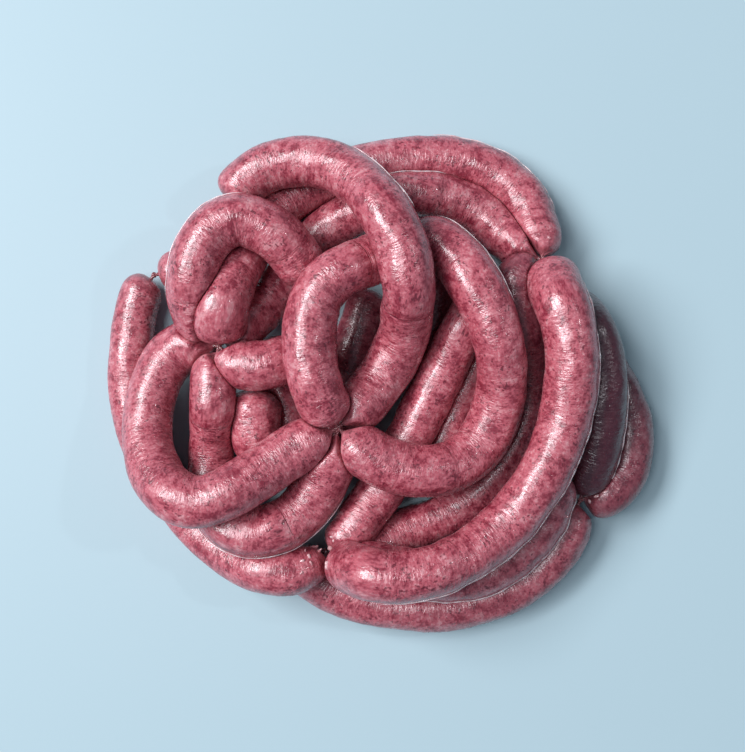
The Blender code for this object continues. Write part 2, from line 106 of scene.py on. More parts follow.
LINKS: list[Link] = [
    Link("link_top_arch", None, "knot_middle", (0.0200, 0.0213, 0.0213), (0.8, 1.5), [
        (230, 201, 1.6), (243, 182, 1.8), (268, 166, 2.2), (300, 160, 2.6), (328, 163, 3.0),
        (352, 175, 3.2), (376, 198, 3.4), (393, 225, 3.5), (405, 258, 3.6), (410, 292, 3.6),
        (404, 338, 3.5), (385, 375, 3.2), (362, 404, 3.0)]),
    Link("link_left_loop", "knot_left", None, (0.0200, 0.0212, 0.0212), (1.5, 0.9), [
        (201, 328, 1.6), (192, 300, 1.6), (193, 272, 1.6), (200, 246, 1.6), (215, 227, 1.9),
        (238, 217, 2.7), (265, 226, 2.7), (285, 242, 2.5), (300, 262, 2.1), (312, 282, 1.7)]),
    Link("link_inner_hook", "knot_middle", "knot_back_hidden", (0.0212, 0.0210), (0.9, 1.2), [
        (322, 402, 2.9), (311, 370, 3.0), (308, 335, 3.0), (313, 302, 2.9), (330, 277, 2.8),
        (355, 265, 2.6), (380, 258, 2.3)]),
    Link("link_left_bow", "knot_middle", "knot_left", (0.0210, 0.0212), (1.3, 1.1), [
        (305, 443, 2.8), (275, 463, 2.8), (247, 482, 2.7), (219, 498, 2.6), (191, 505, 2.5),
        (165, 491, 2.3), (151, 464, 2.2), (146, 435, 2.1), (149, 405, 2.1), (157, 378, 2.1),
        (170, 355, 2.1), (190, 341, 2.0)]),
    Link("link_left_under", "knot_left", "knot_middle", (0.0188, 0.0190, 0.0222, 0.0218), (1.3, 1.8), [
        (213, 370, 1.2), (213, 398, 1.0), (212, 430, 1.0), (211, 462, 1.0), (211, 494, 1.0),
        (220, 518, 1.1), (238, 531, 1.2), (262, 534, 1.4), (286, 525, 1.6), (308, 506, 1.9),
        (323, 481, 2.2), (332, 457, 2.4)]),
    Link("link_centre_bow", "knot_middle", "knot_back_hidden", (0.0212, 0.0214), (1.3, 1.2), [
        (358, 448, 2.4), (385, 464, 2.3), (415, 473, 2.3), (447, 470, 2.3), (476, 452, 2.3),
        (494, 422, 2.3), (503, 390, 2.3), (502, 355, 2.3), (494, 322, 2.3), (480, 292, 2.3),
        (461, 262, 2.2), (441, 243, 2.0), (422, 237, 1.9)]),
    Link("link_crown_outer", "knot_right_back", "knot_left", (0.0206, 0.0206, 0.0226), (1.1, 0.9), [
        (540, 245, 1.0), (534, 224, 0.8), (522, 196, 0.8), (505, 182, 0.8), (488, 169, 0.8),
        (463, 162, 0.8), (440, 159, 0.8), (404, 161, 0.8), (378, 166, 0.8), (354, 171, 0.9),
        (326, 180, 1.0), (298, 193, 1.0), (273, 210, 1.1), (253, 234, 1.1), (242, 258, 1.35),
        (233, 274, 1.65), (225, 290, 1.65), (218, 317, 1.65)]),
    Link("link_crown_inner", "knot_right_back", "knot_left", (0.0200, 0.0194), (1.2, 1.3), [
        (518, 247, 0.9), (497, 227, 0.8), (472, 206, 0.8), (440, 195, 0.8), (412, 193, 0.9),
        (380, 198, 0.9), (353, 214, 1.0), (328, 229, 1.0), (306, 249, 1.0), (288, 273, 1.0),
        (270, 301, 1.0), (248, 322, 1.2)]),
    Link("link_right_hidden", "knot_right_back", "knot_front", (0.0192, 0.0194), (1.2, 1.2), [
        (522, 268, 0.5), (512, 287, 0.5), (518, 318, 0.4), (529, 362, 0.4), (527, 410, 0.4),
        (514, 447, 0.4), (493, 478, 0.5), (474, 498, 0.5), (451, 513, 0.6), (425, 524, 0.7),
        (399, 533, 0.7), (380, 546, 0.8), (360, 554, 0.9)]),
    Link("link_right_bow", "knot_right_back", "knot_front", (0.0230, 0.0206, 0.0212), (1.25, 1.2), [
        (556, 289, 2.6), (563, 306, 3.0), (569, 328, 3.0), (573, 355, 3.0), (570, 391, 3.0),
        (562, 432, 3.0), (545, 472, 3.0), (522, 507, 3.0), (494, 537, 3.0), (466, 556, 3.0),
        (439, 570, 3.0), (410, 577, 2.9), (385, 577, 2.8), (365, 574, 2.5)]),
    Link("link_short_cross", "knot_left", None, (0.0200, 0.0192), (0.75, 0.9), [
        (226, 361, 2.0), (240, 367, 2.0), (258, 367, 2.0), (286, 360, 1.9), (308, 352, 1.7),
        (322, 346, 1.5)]),
    Link("link_left_rim", "knot_front", "knot_left_rim", (0.0206, 0.0190, 0.0180), (1.7, 1.0), [
        (305, 568, 0.6), (283, 573, 0.4), (254, 568, 0.3), (220, 547, 0.2), (193, 521, 0.1),
        (171, 492, 0.0), (150, 462, 0.0), (137, 430, 0.0), (130, 395, 0.0), (130, 360, 0.0),
        (133, 330, 0.0), (137, 303, 0.0), (143, 286, 0.0)]),
    Link("link_left_tail", "knot_left_rim", None, (0.0178, 0.0180), (0.9, 0.9), [
        (168, 272, 0.0), (190, 268, 0.0), (212, 268, 0.0), (229, 273, 0.0)]),
    Link("link_deep_left", "knot_under_bow", None, (0.0184, 0.0184), (1.1, 0.9), [
        (292, 434, 0.0), (283, 404, 0.0), (279, 374, 0.0), (276, 352, 0.0), (273, 336, 0.0)]),
    Link("link_deep_hook", "knot_under_bow", None, (0.0190, 0.0190), (1.1, 0.9), [
        (323, 446, 0.0), (336, 420, 0.0), (345, 390, 0.0), (352, 362, 0.0), (357, 338, 0.0),
        (364, 314, 0.0), (372, 290, 0.0)]),
    Link("link_deep_middle", "knot_back_hidden", None, (0.0190, 0.0190), (1.1, 0.9), [
        (420, 256, 0.9), (431, 278, 0.3), (435, 302, 0.0), (430, 328, 0.0), (419, 352, 0.0),
        (409, 368, 0.0)]),
    Link("link_diagonal", "knot_front", "knot_under_centre", (0.0206, 0.0196, 0.0184), (0.9, 1.1), [
        (351, 535, 1.0), (364, 512, 0.9), (384, 487, 0.9), (405, 446, 0.9), (430, 396, 0.9),
        (455, 345, 0.9), (472, 310, 0.8)]),
    Link("link_diagonal_under", "knot_under_centre", None, (0.0182, 0.0182), (1.2, 0.9), [
        (484, 318, 0.0), (477, 360, 0.0), (460, 402, 0.0), (443, 438, 0.0), (428, 468, 0.0),
        (414, 493, 0.0)]),
    Link("link_front_rim", "knot_right_front", None, (0.0206, 0.0208), (1.3, 0.9), [
        (573, 516, 0.0), (560, 543, 0.0), (538, 570, 0.0), (505, 592, 0.0), (465, 604, 0.0),
        (425, 608, 0.0), (385, 605, 0.0), (352, 597, 0.0), (326, 585, 0.0), (306, 569, 0.0),
        (291, 553, 0.0)]),
    Link("link_front_inner", None, "knot_front", (0.0200, 0.0204), (0.9, 1.3), [
        (553, 472, 0.9), (553, 492, 1.0), (546, 514, 1.1), (533, 535, 1.1), (512, 555, 1.1),
        (488, 572, 1.1), (461, 579, 1.1), (430, 577, 1.1), (400, 572, 1.1), (368, 566, 1.1)]),
    Link("link_right_inner", "knot_right_front", "knot_right_hidden", (0.0200, 0.0200), (1.2, 1.2), [
        (591, 467, 1.1), (600, 432, 1.2), (603, 402, 1.3), (603, 375, 1.3), (598, 346, 1.2),
        (587, 321, 1.0)]),
    Link("link_right_rim", "knot_right_front", "knot_right_hidden", (0.0206, 0.0200), (0.9, 1.1), [
        (597, 498, 0.0), (613, 489, 0.0), (626, 470, 0.0), (632, 440, 0.0), (627, 411, 0.0),
        (615, 387, 0.0), (599, 362, 0.0), (581, 330, 0.0)]),
    Link("link_end_stub", None, "knot_under_bow", (0.0226, 0.0206), (0.9, 1.3), [
        (254, 389, 0.9), (254, 408, 0.9), (253, 428, 0.9), (258, 447, 0.9), (276, 461, 0.8)]),
]


def soft_step(share: Array) -> Array:
    """Rises smoothly from 0 to 1 as the share does."""
    share = np.clip(share, 0.0, 1.0)
    return share * share * (3.0 - 2.0 * share)


def soft_least(first: Array, second: Array, blend: float) -> Array:
    """The lesser of two values, with the corner between them rounded over the blend."""
    mixed = np.clip(0.5 + 0.5 * (second - first) / blend, 0.0, 1.0)
    return second + (first - second) * mixed - blend * mixed * (1.0 - mixed)


def along(points: Array) -> Array:
    """The distance from the first point to each point, along the line."""
    steps = np.linalg.norm(np.diff(points, axis=0), axis=1)
    return np.concatenate([[0.0], np.cumsum(steps)])


def read_at(wanted: Array, measured: Array, table: Array) -> Array:
    """The table's rows at the wanted distances, where measured gives the distance of each row."""
    return np.stack([np.interp(wanted, measured, column) for column in table.T], axis=1)


def spaced(points: Array, measured: Array, step: float) -> Array:
    """The line's values at even steps of about the given size."""
    count = max(int(round(measured[-1] / step)), 2)
    return read_at(np.linspace(0.0, measured[-1], count + 1), measured, points)


def softened(values: Array, reach: float) -> Array:
    """The values averaged along the line with a bell of the given reach in samples, ends kept."""
    half = int(3 * reach)
    bell = np.exp(-0.5 * (np.arange(-half, half + 1) / reach) ** 2)
    bell /= bell.sum()
    before = 2 * values[0] - values[half:0:-1]
    after = 2 * values[-1] - values[-2:-half - 2:-1]
    padded = np.concatenate([before, values, after])
    return np.stack([np.convolve(column, bell, mode="valid") for column in padded.T], axis=1)


def seed_of(name: str) -> int:
    """A whole number that belongs to a name."""
    return sum(ord(letter) for letter in name)


@dataclass(frozen=True)
class Chart:
    """The view from straight above that the routes are drawn on."""

    unit: float = 0.00044
    view_height: float = 0.480
    middle_u: float = 372.5
    middle_v: float = 376.0
    heap_x: float = 0.0035
    heap_y: float = -0.0036
    sample_step: float = 0.0015
    route_softening: float = 0.005

    def samples(self, link: Link) -> Array:
        """Even samples of a link's route.

        Args:
            link: The link whose route is sampled.

        Returns:
            Rows of chart place and level.
        """
        points = list(link.route)
        for name, spot in ((link.start, 0), (link.end, len(points) + 1)):
            if name:
                twist = TWISTS[name]
                points.insert(spot, (twist.u, twist.v, twist.level))
        rows = np.array(points, float)
        rows = spaced(rows, along(rows[:, :2]), self.sample_step / self.unit)
        return softened(rows, self.route_softening / self.sample_step)

    def plan(self, places: Array, heights: Array) -> Array:
        """Plan positions in metres of chart places that are seen at these heights."""
        scale = self.unit * (1.0 - heights / self.view_height)
        return np.stack([
            (places[:, 0] - self.middle_u) * scale - self.heap_x,
            (self.middle_v - places[:, 1]) * scale - self.heap_y], axis=1)

    def place(self, u: float, v: float, height: float) -> Array:
        """The point at a height that is seen at one chart place."""
        plan = self.plan(np.array([[u, v]], float), np.array([height]))[0]
        return np.array([plan[0], plan[1], height])

    def eye(self) -> Array:
        """The point that the chart is seen from."""
        return np.array([-self.heap_x, -self.heap_y, self.view_height])


@dataclass(frozen=True)
class Settling:
    """How the links settle on each other, from the levels of their routes."""

    chart: Chart
    neck_radius: float = 0.0008
    end_roundness: float = 2.4
    unevenness: float = 0.018
    uneven_lengths: tuple[float, float] = (0.0093, 0.0171)
    firmness: float = 0.88
    floor_firmness: float = 0.93
    level_step: float = 0.12
    level_height: float = 0.016
    drape_reach: float = 0.011
    stiffness: int = 14
    twist_blend: float = 0.022
    twist_crowd: float = 0.026
    passes: int = 14

    def radii(self, link: Link, distances: Array, open_tip: float | None = None) -> Array:
        """The link's radius along it: rounded ends that narrow to a neck.

        Args:
            link: The link.
            distances: Distances along it, the last one at its far end.
            open_tip: The radius at the tip of an end that has no twist, if not the neck's.

        Returns:
            One radius for each distance.
        """
        length = distances[-1]
        places = np.linspace(0.0, length, len(link.thickness))
        full = 0.5 * np.interp(distances, places, link.thickness)
        turn = seed_of(link.name)
        for number, uneven_length in enumerate(self.uneven_lengths, 1):
            full = full * (1.0 + self.unevenness * np.sin(distances / uneven_length + number * turn))
        shape = np.ones_like(distances)
        tip = np.full(len(distances), self.neck_radius)
        ends = ((distances, link.end_lengths[0], link.start),
                (length - distances, link.end_lengths[1], link.end))
        for away, blunt, twist in ends:
            share = np.clip(away / (blunt * full), 0.0, 1.0)
            shape = np.minimum(shape, np.sqrt(1.0 - (1.0 - share) ** self.end_roundness))
            if open_tip is not None and twist is None:
                tip = np.where(share < 1.0, open_tip, tip)
        return tip + (full - tip) * shape

    def draped(self, needed: Array) -> Array:
        """The lowest smooth curve found that stays above the needed heights."""
        reach = int(round(self.drape_reach / self.chart.sample_step))
        padded = np.pad(needed, reach, mode="edge")
        highest = np.max([padded[k:k + len(needed)] for k in range(2 * reach + 1)], axis=0)
        bell = np.hanning(2 * reach + 3)[1:-1]
        bell /= bell.sum()
        curve = np.convolve(np.pad(highest, reach, mode="edge"), bell, mode="valid")
        for _ in range(self.stiffness):
            softer = np.convolve(np.pad(curve, reach, mode="edge"), bell, mode="valid")
            curve = np.maximum(curve, softer)
        return curve

    def crowd(self, link: Link, distances: Array) -> Array:
        """For each sample, the number of the twist whose crowd of ends it is in, or -1."""
        numbers = {name: number for number, name in enumerate(TWISTS)}
        crowd = np.full(len(distances), -1)
        if link.start:
            crowd[distances < self.twist_crowd] = numbers[link.start]
        if link.end:
            crowd[distances[-1] - distances < self.twist_crowd] = numbers[link.end]
        return crowd

    def held(self, link: Link, curve: Array, distances: Array) -> Array:
        """The curve of heights, led to the heights of the twists at its ends."""
        if link.start:
            share = 1.0 - soft_step(distances / self.twist_blend)
            curve = curve + share * (TWISTS[link.start].height - curve[0])
        if link.end:
            share = 1.0 - soft_step((distances[-1] - distances) / self.twist_blend)
            curve = curve + share * (TWISTS[link.end].height - curve[-1])
        return curve

    def heights(self, charts: list[Array]) -> list[Array]:
        """Heights of every link's samples, from their levels and the links' thickness.

        Args:
            charts: The chart samples of every link.

        Returns:
            The heights of every link's samples.
        """
        owner = np.concatenate([np.full(len(one), k) for k, one in enumerate(charts)])
        rows = np.concatenate(charts)
        level = rows[:, 2]
        lengths = [along(one[:, :2]) * self.chart.unit for one in charts]
        radius = np.concatenate([self.radii(link, one) for link, one in zip(LINKS, lengths)])
        body = np.concatenate([
            np.full(len(one), 0.5 * np.mean(link.thickness)) for link, one in zip(LINKS, charts)])
        crowd = np.concatenate([self.crowd(link, one) for link, one in zip(LINKS, lengths)])
        over = (level[:, None] > level[None, :] + self.level_step) & (owner[:, None] != owner[None, :])
        over &= (crowd[:, None] != crowd[None, :]) | (crowd[:, None] < 0)
        reach = self.firmness * (radius[:, None] + radius[None, :])
        ends = []
        for link, rows_of in zip(LINKS, charts):
            end = np.zeros(len(rows_of))
            end[0] = TWISTS[link.start].height if link.start else 0.0
            end[-1] = TWISTS[link.end].height if link.end else 0.0
            for prop in PROPS:
                if prop.link == link.name:
                    away = np.hypot(rows_of[:, 0] - prop.u, rows_of[:, 1] - prop.v)
                    end[np.argmin(away)] = prop.height
            ends.append(end)
        least = np.maximum(np.concatenate(ends), self.floor_firmness * body)
        height = body + self.level_height * level
        for _ in range(self.passes):
            plan = self.chart.plan(rows, height)
            apart = np.hypot(plan[:, None, 0] - plan[None, :, 0], plan[:, None, 1] - plan[None, :, 1])
            rise = np.sqrt(np.maximum(reach ** 2 - apart ** 2, 0.0))
            lift = np.where(over & (apart < reach), height[None, :] + rise, 0.0)
            needed = np.maximum(lift.max(axis=1), least)
            height = np.concatenate([
                self.held(link, self.draped(needed[owner == k]), one)
                for k, (link, one) in enumerate(zip(LINKS, lengths))])
        return [height[owner == k] for k in range(len(LINKS))]


class Heap:
    """The settled middle lines of all links, and the spheres that shape links where they press."""

    twist_reach: float = 0.0020
    twist_radius: float = 0.0015
    twist_spread: float = math.radians(52)
    spread_passes: int = 80
    spread_ease: float = 0.15
    neck_look: float = 0.009
    neck_blend: float = 0.014
    gap: float = 0.00012
    least_share: float = 0.15
    most_share: float = 1.2
    smallest: float = 1e-12

    def __init__(self, settling: Settling) -> None:
        """Settles the heap.

        Args:
            settling: The rules that the links settle by.
        """
        self.settling = settling
        self.chart = settling.chart
        charts = [self.chart.samples(link) for link in LINKS]
        routes = []
        for rows, height in zip(charts, settling.heights(charts)):
            line = np.column_stack([self.chart.plan(rows, height), height])
            routes.append(spaced(line, along(line), self.chart.sample_step))
        self.twists = {
            name: self.chart.place(twist.u, twist.v, twist.height) for name, twist in TWISTS.items()}
        leaving = {name: self.leaving(name, routes) for name in TWISTS}
        self.lines = [self.necked(link, route, leaving) for link, route in zip(LINKS, routes)]
        self.radii = [settling.radii(link, along(line)) for link, line in zip(LINKS, self.lines)]
        self.centres = np.concatenate(self.lines + [place[None] for place in self.twists.values()])
        lumps = np.full(len(self.twists), self.twist_radius)
        self.sizes = np.concatenate(self.radii + [lumps])
        owners = [np.full(len(line), k) for k, line in enumerate(self.lines)]
        self.owners = np.concatenate(owners + [np.full(len(self.twists), -1)])

    def spread(self, directions: list[Array]) -> list[Array]:
        """Unit vectors turned away from each other until each pair is a fair angle apart."""
        directions = [direction / np.linalg.norm(direction) for direction in directions]
        for _ in range(self.spread_passes):
            for i in range(len(directions)):
                for j in range(len(directions)):
                    angle = math.acos(float(np.clip(directions[i] @ directions[j], -1.0, 1.0)))
                    if i == j or angle >= self.twist_spread:
                        continue
                    away = directions[i] - directions[j] + self.smallest
                    away *= self.spread_ease * (self.twist_spread - angle) / np.linalg.norm(away)
                    directions[i] = (directions[i] + away) / np.linalg.norm(directions[i] + away)
        return directions

    def leaving(self, name: str, routes: list[Array]) -> dict[tuple[str, bool], Array]:
        """Which way each link leaves a twist.

        Args:
            name: The twist.
            routes: The middle lines of all links, up to the twists' middles.

        Returns:
            A unit vector for each link end at this twist, by link name and whether it is the start.
        """
        keys = []
        directions = []
        for link, route in zip(LINKS, routes):
            for end, at_start, points in ((link.start, True, route), (link.end, False, route[::-1])):
                if end == name:
                    keys.append((link.name, at_start))
                    ahead = points[np.searchsorted(along(points), self.neck_look)]
                    directions.append(ahead - self.twists[name])
        return dict(zip(keys, self.spread(directions)))

    def necked(self, link: Link, route: Array, leaving: dict) -> Array:
        """The link's line between its twists, with its ends led to their own places on them."""
        distances = along(route)
        low = self.twist_reach if link.start else 0.0
        high = distances[-1] - (self.twist_reach if link.end else 0.0)
        count = int(round((high - low) / self.chart.sample_step))
        line = read_at(np.linspace(low, high, count + 1), distances, route)
        measured = along(line)
        if link.start:
            tip = self.twists[link.start] + self.twist_reach * leaving[link.start][(link.name, True)]
            line = line + (1.0 - soft_step(measured / self.neck_blend))[:, None] * (tip - line[0])
        if link.end:
            tip = self.twists[link.end] + self.twist_reach * leaving[link.end][(link.name, False)]
            share = 1.0 - soft_step((measured[-1] - measured) / self.neck_blend)
            line = line + share[:, None] * (tip - line[-1])
        return line

    def others(self, index: int) -> Array:
        """Which spheres can press on this link."""
        others = self.owners != index
        first_twist = len(others) - len(self.twists)
        for number, name in enumerate(self.twists):
            if name in (LINKS[index].start, LINKS[index].end):
                others[first_twist + number] = False
        return others

    def shares(self, index: int, centres: Array, sizes: Array, spokes: Array) -> Array:
        """How far out a link's surface can reach before it meets what presses on it.

        Args:
            index: The link's number.
            centres: Middle points along the link.
            sizes: Its radius at each of them.
            spokes: Unit vectors outwards, for each middle point.

        Returns:
            For each spoke, the reach as a share of the radius.
        """
        others = self.others(index)
        places = self.centres[others]
        reaches = self.sizes[others]
        result = np.full(spokes.shape[:2], self.most_share)
        for number, (centre, size) in enumerate(zip(centres, sizes)):
            offset = centre - places
            near = np.linalg.norm(offset, axis=1) < self.most_share * (size + reaches)
            if near.any():
                away = offset[near]
                lag = reaches[near] - size + self.gap
                closing = lag * size - (spokes[number] * size) @ away.T
                slack = (away ** 2).sum(axis=1) - lag ** 2
                pressed = slack / (2 * np.maximum(closing, self.smallest))
                share = np.where(closing > self.smallest, pressed, self.most_share)
                result[number] = np.minimum(result[number], share.min(axis=1))
        return np.clip(result, self.least_share, self.most_share)


@dataclass(frozen=True)
class Ripples:
    """A smooth uneven pattern in space, made of waves in fixed directions."""

    wavelength: float
    seed: int
    waves: int = 10
    spread: tuple[float, float] = (0.7, 1.5)

    def at(self, points: Array) -> Array:
        """The pattern's value at each point, mostly between -1.5 and 1.5."""
        maker = np.random.default_rng(self.seed)
        directions = maker.normal(size=(self.waves, 3))
        directions /= np.linalg.norm(directions, axis=1)[:, None]
        lengths = self.wavelength * maker.uniform(*self.spread, self.waves)
        phases = maker.uniform(0.0, 2 * math.pi, self.waves)
        angles = points @ (2 * math.pi * directions / lengths[:, None]).T + phases
        return np.sin(angles).sum(axis=-1) / math.sqrt(self.waves / 2)


def tube_faces(rings: int, sides: int) -> list[tuple[int, ...]]:
    """Faces of a closed tube whose points are numbered ring by ring."""
    faces = []
    for ring in range(rings - 1):
        for side in range(sides):
            here = ring * sides + side
            beside = ring * sides + (side + 1) % sides
            faces.append((here, beside, beside + sides, here + sides))
    faces.append(tuple(range(sides))[::-1])
    faces.append(tuple((rings - 1) * sides + side for side in range(sides)))
    return faces


def tubes_faces(count: int, rings: int, sides: int) -> list[tuple[int, ...]]:
    """Faces of several closed tubes whose points follow one another."""
    faces = []
    for first in range(0, count * rings * sides, rings * sides):
        faces += [tuple(first + corner for corner in face) for face in tube_faces(rings, sides)]
    return faces


def around(sides: int) -> Array:
    """Even angles around a full turn, from 0."""
    return np.arange(sides) * 2 * math.pi / sides


def spokes_at(angles: Array, level: Array, upward: Array) -> Array:
    """Unit vectors outwards at these angles, for each point of a line."""
    return (np.cos(angles)[None, :, None] * level[:, None, :]
            + np.sin(angles)[None, :, None] * upward[:, None, :])


def frames_along(line: Array) -> tuple[Array, Array, Array]:
    """Unit tangents of a line, and unit vectors across them: one level, one upwards."""
    tangents = np.gradient(line, axis=0)
    tangents /= np.linalg.norm(tangents, axis=1)[:, None]
    level = np.cross(tangents, (0.0, 0.0, 1.0))
    level /= np.maximum(np.linalg.norm(level, axis=1), TINY)[:, None]
    return tangents, level, np.cross(level, tangents)


def new_piece(name: str, points: Array, faces: list, material: bpy.types.Material) -> bpy.types.Object:
    """A smooth mesh object in the scene.

    Args:
        name: The piece's name.
        points: Its vertices.
        faces: Its faces, as tuples of vertex numbers.
        material: What it is made of.

    Returns:
        The new object.
    """
    mesh = bpy.data.meshes.new(name)
    mesh.from_pydata(points.tolist(), [], faces)
    mesh.validate()
    mesh.shade_smooth()
    mesh.materials.append(material)
    piece = bpy.data.objects.new(name, mesh)
    bpy.context.scene.collection.objects.link(piece)
    return piece


def store(piece: bpy.types.Object, name: str, values: Array) -> None:
    """Keeps three numbers for each vertex of a piece, for its material to read."""
    kept = piece.data.attributes.new(name, "FLOAT_VECTOR", "POINT")
    kept.data.foreach_set("vector", np.ascontiguousarray(values, np.float32).reshape(-1))


@dataclass(frozen=True)
class Cloud:
    """A cloudy pattern: its fineness, layers and roughness, its share in a sum, and its squeeze."""

    scale: float
    layers: float
    rough: float
    share: float = 1.0
    squeeze: tuple[float, float, float] | None = None


@dataclass(frozen=True)
class Mask:
    """A window of values over which a mask rises smoothly, or falls where low is the higher."""

    low: float
    high: float
    share: float = 1.0


class Wire:
    """A value in a material, which Python's operators turn into Math nodes."""

    def __init__(self, recipe: "Recipe", socket: bpy.types.NodeSocket) -> None:
        """Keeps the socket that the value comes from."""
        self.recipe = recipe
        self.socket = socket

    def __add__(self, other: "Wire | float") -> "Wire":
        """This value plus another."""
        return self.recipe.maths("ADD", self, other)

    __radd__ = __add__

    def __mul__(self, other: "Wire | float") -> "Wire":
        """This value times another."""
        return self.recipe.maths("MULTIPLY", self, other)

    def masked(self, mask: Mask) -> "Wire":
        """The mask's strength where this value has passed its window, and 0 where it hasn't."""
        node = self.recipe.node(
            "ShaderNodeMapRange", {"interpolation_type": "SMOOTHSTEP"},
            {"Value": self, "From Min": mask.low, "From Max": mask.high})
        return Wire(self.recipe, node.outputs["Result"]) * mask.share


class Recipe:
    """A material under construction."""

    def __init__(self, name: str) -> None:
        """Starts a material with a Principled surface."""
        self.material = bpy.data.materials.new(name)
        self.material.use_nodes = True
        self.tree = self.material.node_tree
        self.surface = self.tree.nodes["Principled BSDF"]

    def join(self, socket: bpy.types.NodeSocket, value: object) -> None:
        """Sets a socket to a plain value, or links a wire to it."""
        if isinstance(value, Wire):
            self.tree.links.new(value.socket, socket)
        elif isinstance(value, tuple) and len(value) == 3 and socket.type == "RGBA":
            socket.default_value = (*value, 1.0)
        else:
            socket.default_value = value

    def node(self, kind: str, settings: dict | None = None, inputs: dict | None = None) -> bpy.types.Node:
        """Adds any node.

        Args:
            kind: The node's type.
            settings: Its own settings, which are set first.
            inputs: Values or wires for its sockets, by name or number.

        Returns:
            The new node.
        """
        node = self.tree.nodes.new(kind)
        for key, value in (settings or {}).items():
            setattr(node, key, value)
        for key, value in (inputs or {}).items():
            self.join(node.inputs[key], value)
        return node

    def maths(self, operation: str, first: "Wire | float", second: "Wire | float") -> Wire:
        """A Math node on two values."""
        node = self.node("ShaderNodeMath", {"operation": operation}, {0: first, 1: second})
        return Wire(self, node.outputs[0])

    def mix(self, share: "Wire | float", first: object, second: object) -> Wire:
        """One color turning into another as the share rises."""
        node = self.node("ShaderNodeMix", {"data_type": "RGBA"}, {0: share, 6: first, 7: second})
        return Wire(self, node.outputs[2])

    def stretched(self, vector: Wire, factors: tuple[float, float, float]) -> Wire:
        """A coordinate multiplied by three factors."""
        node = self.node("ShaderNodeVectorMath", {"operation": "MULTIPLY"}, {0: vector, 1: factors})
        return Wire(self, node.outputs["Vector"])

    def stored(self, name: str) -> Wire:
        """Three numbers that the piece keeps for each of its vertices."""
        node = self.node("ShaderNodeAttribute", {"attribute_name": name})
        return Wire(self, node.outputs["Vector"])

    def parts(self, vector: Wire) -> tuple[Wire, Wire, Wire]:
        """The three numbers of a vector, apart."""
        node = self.node("ShaderNodeSeparateXYZ", inputs={0: vector})
        return tuple(Wire(self, socket) for socket in node.outputs)

    def cloudy(self, place: Wire, *clouds: Cloud) -> Wire:
        """The sum of cloudy patterns, each times its share.

        Args:
            place: The coordinate that they are read at.
            clouds: The patterns.

        Returns:
            Uneven values around half of the shares' sum.
        """
        total = None
        for cloud in clouds:
            vector = self.stretched(place, cloud.squeeze) if cloud.squeeze else place
            node = self.node(
                "ShaderNodeTexNoise", {"noise_dimensions": "3D"},
                {"Vector": vector, "Scale": cloud.scale, "Detail": cloud.layers, "Roughness": cloud.rough})
            value = Wire(self, node.outputs[0]) * cloud.share
            total = value if total is None else total + value
        return total

    def relief(self, height: Wire, depth: float) -> Wire:
        """A bumped normal: depth in metres for a height from 0 to 1."""
        node = self.node("ShaderNodeBump", inputs={"Height": height, "Distance": depth, "Strength": 1.0})
        return Wire(self, node.outputs["Normal"])

    def finish(self, **values: object) -> bpy.types.Material:
        """Sets the surface's sockets, with a space for each underscore in their names."""
        for key, value in values.items():
            self.join(self.surface.inputs[key.replace("_", " ")], value)
        return self.material


